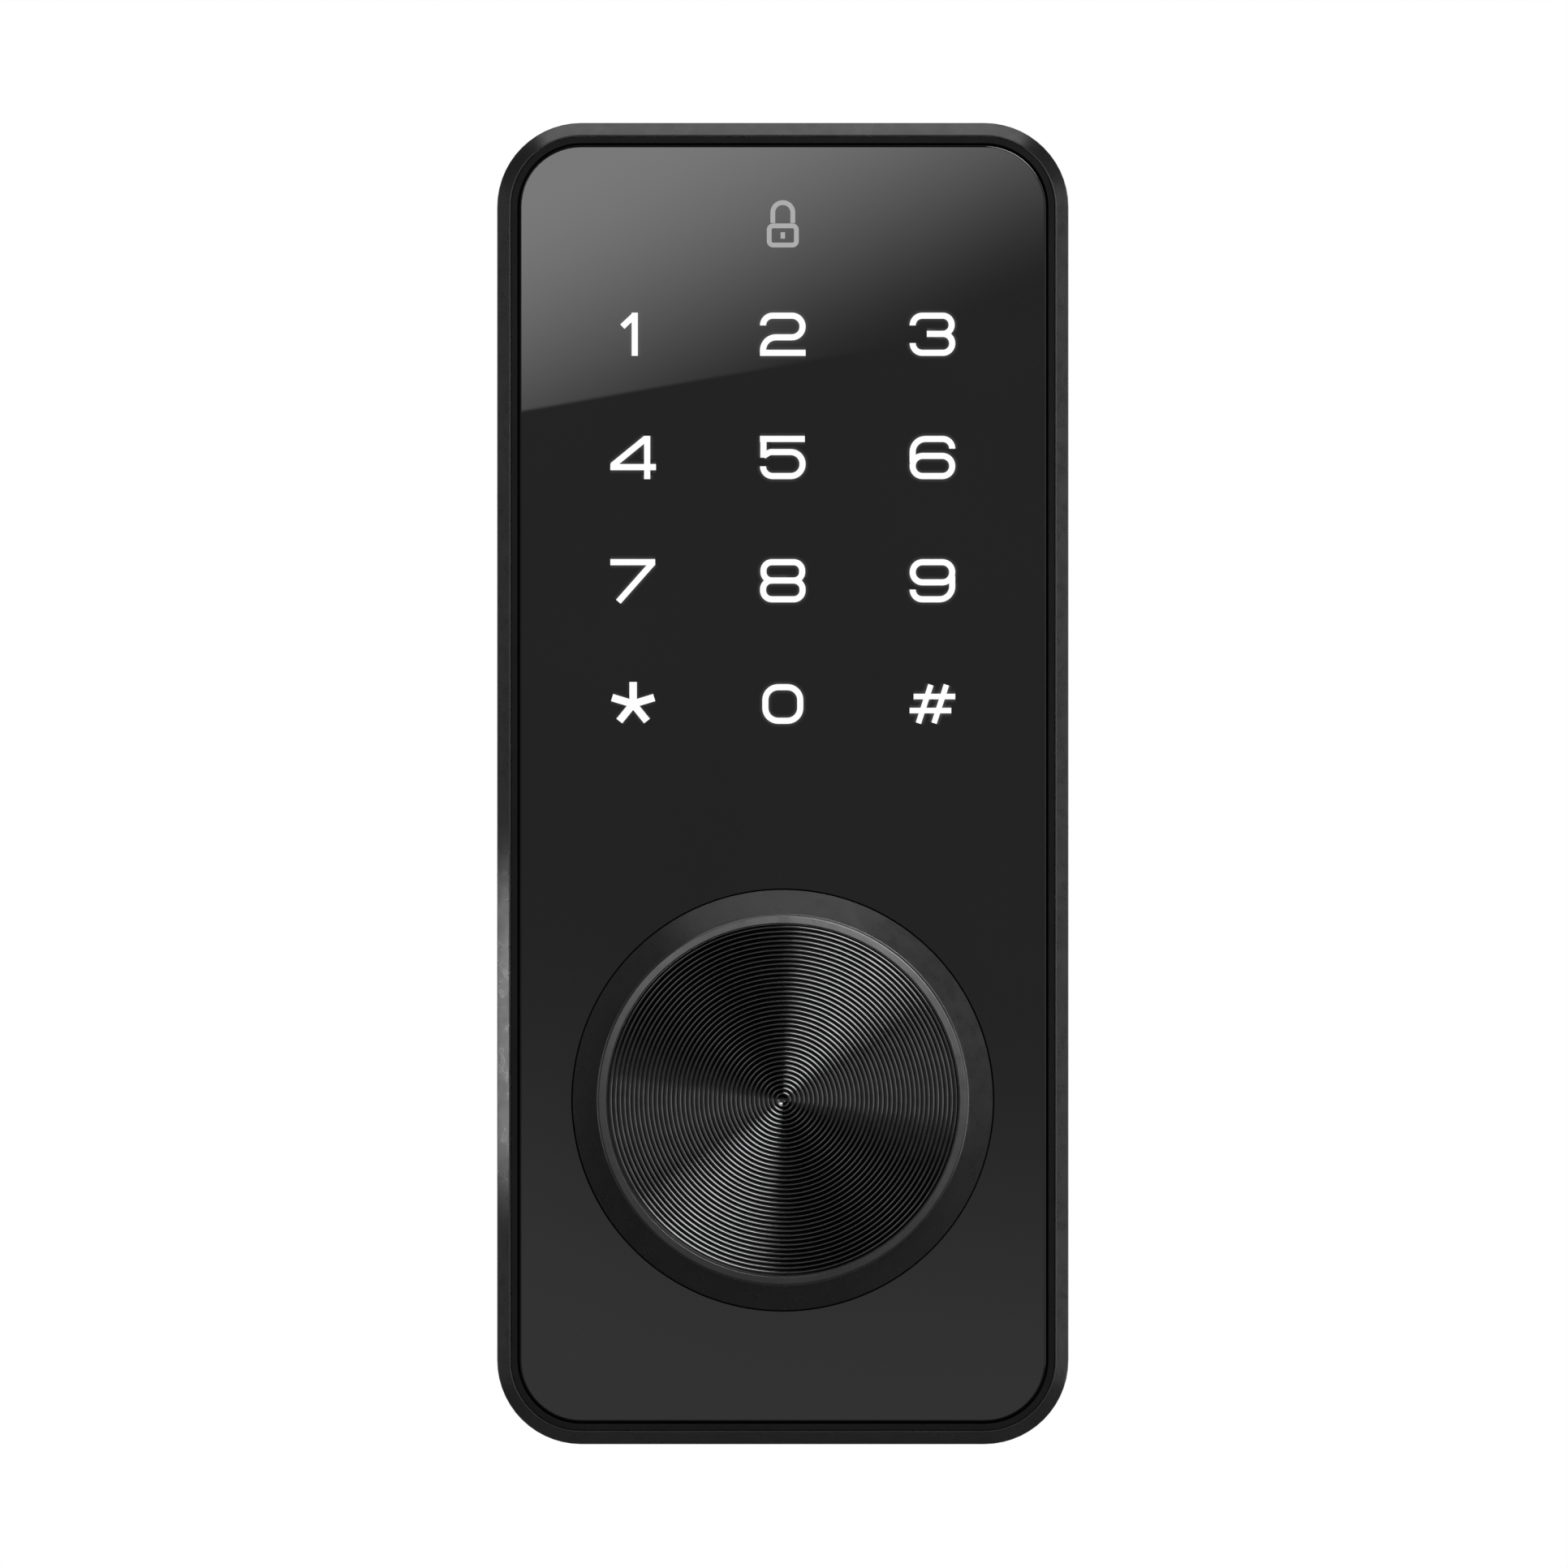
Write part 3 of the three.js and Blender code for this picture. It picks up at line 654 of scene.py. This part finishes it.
class Marks:
    """Collects flat strokes on the glass: a bright core and a soft halo round it."""

    def __init__(self):
        self.vertices, self.faces, self.lit = [], [], []

    def stroke(self, path, closed, x, y, out, half_width, edge, core_lit=1.0):
        """A ribbon that is lit by core_lit on its line and by edge at its sides."""
        sides = ribbon(path, half_width, closed)
        start = len(self.vertices)
        for left, middle, right in sides:
            for point, lit in ((left, edge), (middle, core_lit), (right, edge)):
                self.vertices.append(spot(x + point.x, y + point.y, out))
                self.lit.append(lit)
        count = len(sides)
        for i in range(count if closed else count - 1):
            here, there = start + 3 * i, start + 3 * ((i + 1) % count)
            self.faces.append((here, there, there + 1, here + 1))
            self.faces.append((here + 1, there + 1, there + 2, here + 2))

    def make(self, name, material):
        made = piece(name, self.vertices, self.faces)
        values = made.data.attributes.new("lit", "FLOAT", "POINT")
        values.data.foreach_set("value", self.lit)
        made.data.materials.append(material)
        return made


# Each key's strokes: (rounding radius, closed, points), in millimetres from the key's centre.
SIDE, TOP = 2.47, 2.32  # middle lines of the round strokes, from the key's centre
BAR, STEM = 2.85, 2.7  # ends of the straight strokes
RAY, RAY_ANGLES = 2.75, (90, 17, -51, -129, 163)  # the star's arms
GLYPHS = {
    "1": [(0, False, [(-1.35, 0.95), (0.2, 2.4)]), (0, False, [(0.2, STEM), (0.2, -STEM)])],
    "2": [
        (
            1.6,
            False,
            [(-SIDE, 1.1), (-SIDE, TOP), (SIDE, TOP), (SIDE, -0.38), (-SIDE, -0.38), (-SIDE, -TOP)],
        ),
        (0, False, [(-BAR, -TOP), (BAR, -TOP)]),
    ],
    "3": [
        (1.3, False, [(-SIDE, 1.1), (-SIDE, TOP), (2.4, TOP), (2.4, 0.05), (-0.7, 0.05)]),
        (1.3, False, [(-0.7, 0.05), (SIDE, 0.05), (SIDE, -TOP), (-SIDE, -TOP), (-SIDE, -1.1)]),
    ],
    "4": [
        (0, False, [(1.75, STEM), (1.75, -STEM)]),
        (0, False, [(-BAR, -1.2), (BAR, -1.2)]),
        (0, False, [(-2.6, -1.02), (1.62, 2.42)]),
    ],
    "5": [
        (0, False, [(-BAR, TOP), (2.75, TOP)]),
        (0, False, [(-2.42, STEM), (-2.42, -0.02)]),
        (0, False, [(-2.42, 0.2), (-1.6, 0.68)]),
        (1.5, False, [(-1.7, 0.68), (SIDE, 0.68), (SIDE, -TOP), (-SIDE, -TOP), (-SIDE, -1.1)]),
    ],
    "6": [
        (1.6, False, [(SIDE, 1.1), (SIDE, TOP), (-SIDE, TOP), (-SIDE, -0.6)]),
        (1.3, True, [(-SIDE, 0.2), (SIDE, 0.2), (SIDE, -TOP), (-SIDE, -TOP)]),
    ],
    "7": [(0, False, [(-BAR, TOP), (2.75, TOP)]), (0, False, [(2.5, 2.3), (-1.85, -2.62)])],
    "8": [
        (1.05, True, [(-2.42, TOP), (2.42, TOP), (2.42, 0.03), (-2.42, 0.03)]),
        (1.1, True, [(-SIDE, 0.03), (SIDE, 0.03), (SIDE, -TOP), (-SIDE, -TOP)]),
    ],
    "0": [(1.6, True, [(-2.18, 2.1), (2.18, 2.1), (2.18, -2.1), (-2.18, -2.1)])],
    "*": [
        (0, False, [(0, 0), (RAY * math.cos(math.radians(a)), RAY * math.sin(math.radians(a)))])
        for a in RAY_ANGLES
    ],
    "#": [
        (0, False, [(-1.75, -2.4), (-0.2, 2.4)]),
        (0, False, [(0.2, -2.4), (1.75, 2.4)]),
        (0, False, [(-2.35, 0.93), (BAR, 0.93)]),
        (0, False, [(-BAR, -0.82), (2.35, -0.82)]),
    ],
}
GLYPHS["9"] = [
    (radius, closed, [(-x, -y) for x, y in points]) for radius, closed, points in GLYPHS["6"]
]

STROKE = 0.38  # half the width of a stroke
WEIGHTS = {"*": 1.22, "#": 0.9}  # strokes that are bolder or finer than the rest
HALO = 0.95  # half the width of the glow round a stroke
MARKS_OUT = FRONT + 0.03
HALO_OUT = FRONT + 0.012


def key_marks():
    """The twelve keys' marks, and the light that spills round them."""
    core, halo = Marks(), Marks()
    for row, keys in zip(ROWS, KEYS):
        for column, key in zip(COLUMNS, keys):
            for radius, closed, points in GLYPHS[key]:
                path = round_path(points, radius, closed)
                width = STROKE * WEIGHTS.get(key, 1.0)
                core.stroke(path, closed, column, row, MARKS_OUT, width, 1.0)
                halo.stroke(path, closed, column, row, HALO_OUT, HALO, 0.0, 0.62)
    lit = core.make("key_marks", glow("key_light", 1.0, (1, 1, 1)))
    soft = halo.make("key_halo", glow("key_spill", 0.42, (0.96, 0.98, 1)))
    for made in (lit, soft):
        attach(made, "case")


def padlock_sign():
    """A plain closed padlock above the keys, drawn as a dim grey painted glow rather than as ink."""
    x, y = 0, 109.4
    line, slot_line = 0.3, 0.28
    sign = Marks()
    shackle = round_path([(-1.25, 0.2), (-1.25, 2.75), (1.25, 2.75), (1.25, 0.2)], 1.24, False)
    sign.stroke(shackle, False, x, y, HALO_OUT, line, 1.0)
    body = round_path([(-1.7, -0.15), (1.7, -0.15), (1.7, -2.55), (-1.7, -2.55)], 0.5, True)
    sign.stroke(body, True, x, y, HALO_OUT, line, 1.0)
    sign.stroke([Vector((0, -0.95)), Vector((0, -1.75))], False, x, y, HALO_OUT, slot_line, 1.0)
    # Painted glow: the padlock's grey is light given off by the mark itself.
    made = sign.make("padlock_sign", glow("padlock_glow", 0.42, (1, 1, 1)))
    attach(made, "case")


key_marks()
padlock_sign()

# ---------------------------------------------------------------- back of the lock


def back_plate():
    """Steel plate with a hub for the output, and its holes for posts, cable, plunger and screws."""
    low, high = cad_span("back_plate")
    back, front = PLATE_BACK, high[2]
    profile = fillet([(WALL + 0.15, back, 0.2), (WALL + 0.15, front, 0.1)], closed=False)
    loops = [housing_loop(8, back)]
    loops += [housing_loop(i, o) for i, o in profile]
    loops += [housing_loop(8, front)]
    made = loft("plate", loops)
    hub = turned("hub", fillet([(0, low[2]), (10.5, low[2], 0.4), (10.5, 2.5), (0, 2.5)], False))
    carve(made, [hub], "UNION")
    cuts = [rod(0, 0, 7.6, -3, 4, 64), rod(*centre_of("cable_grommet"), 4.4, 0, 4)]
    cuts.append(rod(*centre_of("tamper_plunger"), 1.8, 0, 4, 32))
    cuts += [rod(side * POST_X, 0, 3.1, 0, 4, 32) for side in (-1, 1)]
    for i in (1, 2, 3, 4):
        x, y = centre_of(f"plate_screw_{i}")
        sink = [(0, 0), (3.15, 0), (3.15, 1.45), (1.75, 2.9), (1.75, 4), (0, 4)]
        cuts.append(turned("sink", sink, x, y, 32))
    return carve(made, cuts)


fit(back_plate(), "steel", "case", "back_plate")


def door_gasket():
    """Foam-rubber frame with a rounded face and a groove along its middle."""
    front = cad_span("door_gasket")[1][2]
    section = fillet(
        [
            (2.6, front),
            (2.6, 0.05, 0.5),
            (3.7, 0.05, 0.2),
            (4.1, 0.5, 0.3),
            (4.5, 0.05, 0.2),
            (5.6, 0.05, 0.5),
            (5.6, front),
        ]
    )
    return loft("gasket", [housing_loop(i, o) for i, o in section], ring=True)


fit(door_gasket(), "rubber", "case", "door_gasket")

collar_profile = fillet(
    [(22.6, -6, 0.4), (25.4, -6, 0.9), (25.4, 1.4, 0.1), (22.6, 1.4, 0.1)],
)
fit(turned("collar", collar_profile, segments=128), "matte_black", "case", "bore_collar")


def bolt_post(name, node):
    """Tube with a smooth bore, staked into the back plate through its neck."""
    x, y = centre_of(node)
    profile = fillet(
        [
            (0, -2),
            (2.1, -2.6),
            (2.1, -13.4, 0.1),
            (2.7, -14, 0.1),
            (4, -14, 0.5),
            (4, 1.4, 0.15),
            (2.9, 1.4),
            (2.9, 3.1),
            (3.9, 3.1, 0.2),
            (3.9, 4.1, 0.4),
            (0, 4.1),
        ],
        closed=False,
    )
    return turned(name, profile, x, y, 64)


fit(bolt_post("post_left", "bolt_post_left"), "steel", "case", "bolt_post_left")
fit(bolt_post("post_right", "bolt_post_right"), "steel", "case", "bolt_post_right")

grommet_profile = fillet(
    [
        (3.3, 0.4, 0.4),
        (5.6, 0.4, 0.45),
        (5.6, 1.4),
        (4.3, 1.4),
        (4.3, 3.1),
        (5.6, 3.1),
        (5.6, 4.1, 0.4),
        (3.3, 4.1, 0.3),
    ]
)
fit(
    turned("grommet", grommet_profile, *centre_of("cable_grommet"), 64),
    "rubber",
    "case",
    "cable_grommet",
)

bush_profile = fillet(
    [(5.15, -2.4, 0.2), (9, -2.4, 0.25), (9, -1.9), (7.5, -1.9), (7.5, 3, 0.2), (5.15, 3, 0.2)]
)
fit(turned("output_bearing", bush_profile), "acetal", "case", "output_bush")


def tail_blade():
    """The flat bar that turns the bolt, with a cross hole for its pin."""
    low, high = cad_span("tailpiece")
    made = slab("tail", low, high, 0.35, 0.25)
    return carve(made, [tip(rod(0, 0, PIN_BORE, -6, 6, 32))])


fit(tail_blade(), "steel", "output", "tailpiece")


def output_shaft():
    """Slotted shaft with a square for the clutch ring at its front."""
    profile = fillet(
        [
            (0, -5),
            (5, -5, 0.3),
            (5, -3.4),
            (4.1, -3.4),
            (4.1, -2.6),
            (5, -2.6),
            (5, 3.3),
            (6.8, 3.3, 0.2),
            (6.8, 4.3, 0.2),
            (0, 4.3),
        ],
        closed=False,
    )
    made = turned("output_shaft", profile, segments=96)
    square = slab("square", (-3, -3, 4), (3, 3, 9.2), 0.2, 0.25)
    carve(made, [square], "UNION")
    slot_cut = slab("slot", (-3.6, -1.3, -6), (3.6, 1.3, 1), 0.05, 0.01)
    return carve(made, [slot_cut, tip(rod(0, 0, PIN_BORE, -6, 6, 32))])


fit(output_shaft(), "steel", "output", "output_spindle")

pin_profile = fillet([(0, -4.7), (1, -4.7, 0.3), (1, 4.7, 0.3), (0, 4.7)], closed=False)
fit(tip(turned("tail_pin", pin_profile, segments=32)), "steel", "output", "tailpiece_pin")


def snap_ring():
    """The clip in the output's groove, open at its bottom."""
    inner, outer, back, front, gap = 4.25, 7, -3.3, -2.7, 1.8
    profile = fillet(
        [(inner, back, 0.1), (outer, back, 0.15), (outer, front, 0.15), (inner, front, 0.1)]
    )
    made = turned("tail_clip", profile, segments=96)
    return carve(made, [slab("gap", (-gap, -outer - 1, back - 1), (gap, 0, front + 1), 0.02, 0.01)])


fit(snap_ring(), "steel", "output", "output_clip")


def plate_screw(i):
    """Countersunk screw with a cross recess."""
    x, y = centre_of(f"plate_screw_{i}")
    head, shank, tip_out = 2.75, 1.2, 12
    profile = fillet(
        [
            (0, 1.55),
            (head, 1.55, 0.15),
            (head, 1.75, 0.1),
            (1.5, 2.8),
            (shank, 2.8),
            (shank, tip_out),
            (0, tip_out),
        ],
        closed=False,
    )
    made = turned(f"screw_{i}", profile, x, y, 48)
    arms = [
        slab("arm", (x - a, y - b, 0.5), (x + a, y + b, 2.3), 0.1, 0.02)
        for a, b in ((1.5, 0.3), (0.3, 1.5))
    ]
    return carve(made, arms)


for i in (1, 2, 3, 4):
    fit(plate_screw(i), "steel", "case", f"plate_screw_{i}")

stem, flange = 1.5, 2.2
plunger_profile = fillet(
    [
        (0, -0.9),
        (stem, -0.9, 0.6),
        (stem, 3.3),
        (flange, 3.3),
        (flange, 3.9),
        (stem, 3.9),
        (stem, 5.2),
        (0, 5.2),
    ],
    closed=False,
)
fit(
    turned("tamper_pin", plunger_profile, *centre_of("tamper_plunger"), 48),
    "acetal",
    "tamper",
    "tamper_plunger",
)


def port_cover():
    """Rubber flap with a finger lip along its front edge and a bung that fills the port."""
    low, high = cad_span("port_cover")
    top = HOUSING_LOW[1] + 0.9
    made = slab("cover_flap", (low[0], low[1], low[2]), (high[0], top, high[2]), 0.3, 0.25)
    bung = slab("bung", (-3.5, top - 0.1, 10.9), (3.5, high[1], 12.5), 0.3, 0.2)
    return carve(made, [bung], "UNION")


fit(port_cover(), "rubber", "cover", "port_cover")

# ---------------------------------------------------------------- studio


def plane(name, corners, material):
    """A sheet that belongs to the stage."""
    made = piece(name, corners, [(0, 1, 2, 3)])
    made.data.materials.append(material)
    return made


def pale_floor():
    """Matt pale board with faint clouds."""
    made = Surface("pale_floor", (0.55, 0.7))
    made.colour(made.noise(60, 4), grey(0.78), grey(0.82))
    return made.rough(made.noise(20, 4)).material


FLOOR_Z = -0.062
FLOOR_HALF = 2.2
floor = plane(
    "floor",
    [(FLOOR_HALF * x, FLOOR_HALF * y, FLOOR_Z) for x, y in ((-1, -1), (1, -1), (1, 1), (-1, 1))],
    pale_floor(),
)
floor.visible_glossy = False


class Pattern:
    """Arithmetic on a shader's inputs."""

    def __init__(self, tree, coordinates):
        self.nodes, self.links = tree.nodes, tree.links
        place = self.nodes.new("ShaderNodeTexCoord")
        split = self.nodes.new("ShaderNodeSeparateXYZ")
        self.links.new(place.outputs[coordinates], split.inputs[0])
        self.x, self.y, self.z = split.outputs

    def set(self, socket, value):
        if isinstance(value, (int, float)):
            socket.default_value = value
        else:
            self.links.new(value, socket)

    def math(self, operation, *values):
        step = self.nodes.new("ShaderNodeMath")
        step.operation = operation
        for socket, value in zip(step.inputs, values):
            self.set(socket, value)
        return step.outputs[0]

    def add(self, *values):
        total = values[0]
        for value in values[1:]:
            total = self.math("ADD", total, value)
        return total

    def times(self, *values):
        total = values[0]
        for value in values[1:]:
            total = self.math("MULTIPLY", total, value)
        return total

    def smooth(self, value, start, end, low=0.0, high=1.0):
        """Eases from low to high as the value goes from start to end."""
        step = self.nodes.new("ShaderNodeMapRange")
        step.interpolation_type = "SMOOTHSTEP"
        for name, number in zip(("From Min", "From Max", "To Min", "To Max"), (start, end, low, high)):
            self.set(step.inputs[name], number)
        self.links.new(value, step.inputs["Value"])
        return step.outputs["Result"]


def emitter(name, strength):
    """A material that only gives light, and the shader that sets how much."""
    made = bpy.data.materials.new(name)
    made.use_nodes = True
    nodes, links = made.node_tree.nodes, made.node_tree.links
    nodes.clear()
    light = nodes.new("ShaderNodeEmission")
    light.inputs["Strength"].default_value = strength
    out = nodes.new("ShaderNodeOutputMaterial")
    links.new(light.outputs[0], out.inputs["Surface"])
    return made, light


def backdrop():
    """A white dome that only the camera sees."""
    made = emitter("white_backdrop", 1.0)[0]
    work = bmesh.new()
    bmesh.ops.create_icosphere(work, subdivisions=4, radius=3.0)
    mesh = bpy.data.meshes.new("backdrop")
    work.to_mesh(mesh)
    work.free()
    dome = bpy.data.objects.new("backdrop", mesh)
    bpy.context.scene.collection.objects.link(dome)
    dome.data.materials.append(made)
    for ray in ("diffuse", "glossy", "transmission", "volume_scatter", "shadow"):
        setattr(dome, f"visible_{ray}", False)


backdrop()


def glare_card():
    """A reflector in front of the lock. The glass mirrors it as a sheen with a slanting lower edge."""
    made, light = emitter("glare", 1.0)
    card = Pattern(made.node_tree, "Object")
    edge_climb, edge_height = 0.1755, 0.09184
    softness = 0.0003
    brightest, even_light, foot_light = 4.35, 0.385, 0.38
    # Height above the sheen's lower edge, which climbs to the right.
    above = card.add(card.z, card.times(card.x, -edge_climb), -edge_height)
    edge = card.smooth(above, -softness, softness)
    # The sheen brightens towards the upper left.
    upward = card.smooth(card.add(above, card.times(card.x, -0.3)), -0.006, 0.038, 0.0, brightest)
    # The panel is a little lighter towards its lower edge.
    foot = card.smooth(card.add(card.z, card.times(card.x, 0.2)), -0.036, 0.02, foot_light, 0.0)
    total = card.add(card.times(edge, upward), foot, even_light)
    card.links.new(total, light.inputs["Strength"])
    half_x, low_z, high_z, y = 0.045, -0.05, 0.13, -1.0
    sheet = plane(
        "glare_card",
        [(-half_x, y, low_z), (half_x, y, low_z), (half_x, y, high_z), (-half_x, y, high_z)],
        made,
    )
    for ray in ("camera", "diffuse", "transmission", "shadow"):
        setattr(sheet, f"visible_{ray}", False)


glare_card()


def studio_world():
    """The room: dim in front, a low band of light beside the lock, and brighter behind it."""
    world = bpy.data.worlds.new("studio")
    bpy.context.scene.world = world
    world.use_nodes = True
    room = Pattern(world.node_tree, "Generated")
    behind_light, viewer_light, ahead_light, beside_light, even_light = 0.42, 0.07, 0.18, 0.16, 0.008
    forward = room.times(room.y, -1)
    level = room.smooth(room.math("ABSOLUTE", room.z), 0.1, 0.4, 1.0, 0.0)
    behind = room.smooth(room.y, 0.08, 0.6, 0.0, behind_light)
    viewer = room.smooth(forward, 0.85, 0.97, 0.0, viewer_light)
    ahead = room.times(room.smooth(forward, 0.15, 0.7, 0.0, ahead_light), level)
    band = room.times(room.smooth(forward, -0.03, 0.05), room.smooth(forward, 0.08, 0.25, 1.0, 0.0))
    beside = room.times(band, beside_light)
    background = world.node_tree.nodes["Background"]
    background.inputs["Color"].default_value = (1, 1, 1, 1)
    total = room.add(behind, beside, viewer, ahead, even_light)
    room.links.new(total, background.inputs["Strength"])


studio_world()

TARGET = Vector((0, -0.03, 0.02))  # what the softboxes are aimed at


def softbox(name, azimuth, elevation, distance, width, height, power):
    """An area lamp aimed at the lock. Azimuth is round the knob's axis from the right,
    anticlockwise as seen from the front, and elevation is from the door's plane towards the viewer."""
    a, e = math.radians(azimuth), math.radians(elevation)
    side = Vector((math.cos(a) * math.cos(e), -math.sin(e), math.sin(a) * math.cos(e)))
    lamp = bpy.data.lights.new(name, "AREA")
    lamp.shape = "RECTANGLE"
    lamp.size, lamp.size_y = width, height
    lamp.energy = power
    made = bpy.data.objects.new(name, lamp)
    bpy.context.scene.collection.objects.link(made)
    made.location = TARGET + side * distance
    made.rotation_euler = (-side).to_track_quat("-Z", "Y").to_euler()
    made.visible_camera = False
    return made


softbox("top_light", azimuth=90, elevation=0, distance=1.2, width=1.4, height=0.4, power=1.8)
key_light = softbox(
    "key_light", azimuth=58, elevation=52, distance=1.2, width=0.66, height=0.42, power=9.9
)
softbox("right_panel", azimuth=14, elevation=44, distance=1.3, width=0.85, height=0.76, power=2.3)
softbox("rim_light", azimuth=137, elevation=72, distance=1.2, width=0.2, height=0.2, power=0.25)
softbox("second_rim_light", azimuth=47, elevation=72, distance=1.2, width=0.2, height=0.2, power=0.05)
softbox("right_fill", azimuth=0, elevation=-18, distance=1.3, width=0.4, height=0.9, power=2.3)
softbox("left_fill", azimuth=180, elevation=-18, distance=1.4, width=0.4, height=0.9, power=1.0)

# A narrow lamp level with the housing's left bevel. It lights a stretch of the bevel and little else.
left_glow = softbox(
    "left_glow", azimuth=180, elevation=0, distance=0.1, width=0.004, height=0.036, power=0.000056
)
left_glow.location = spot(-140, 9, 27)
left_glow.data.spread = math.radians(11)

only_housing = bpy.data.collections.new("only_housing")
only_housing.objects.link(shell)
left_glow.light_linking.receiver_collection = only_housing

# The key light shapes the knob's grooves. On the housing's top it would be a glare.
all_but_housing = bpy.data.collections.new("all_but_housing")
all_but_housing.objects.link(shell)
all_but_housing.collection_objects[0].light_linking.link_state = "EXCLUDE"
key_light.light_linking.receiver_collection = all_but_housing

# ---------------------------------------------------------------- camera

PICTURE_WIDTH = 0.19594
PICTURE_CENTRE = (0.15, 39.5)
CAMERA_OUT = 700

camera_data = bpy.data.cameras.new("camera")
camera_data.type = "ORTHO"
camera_data.ortho_scale = PICTURE_WIDTH
camera_data.clip_end = 20
camera = bpy.data.objects.new("camera", camera_data)
bpy.context.scene.collection.objects.link(camera)
camera.location = spot(*PICTURE_CENTRE, CAMERA_OUT)
camera.rotation_euler = (math.radians(90), 0, 0)
bpy.context.scene.camera = camera
bpy.context.scene.view_settings.view_transform = "Standard"
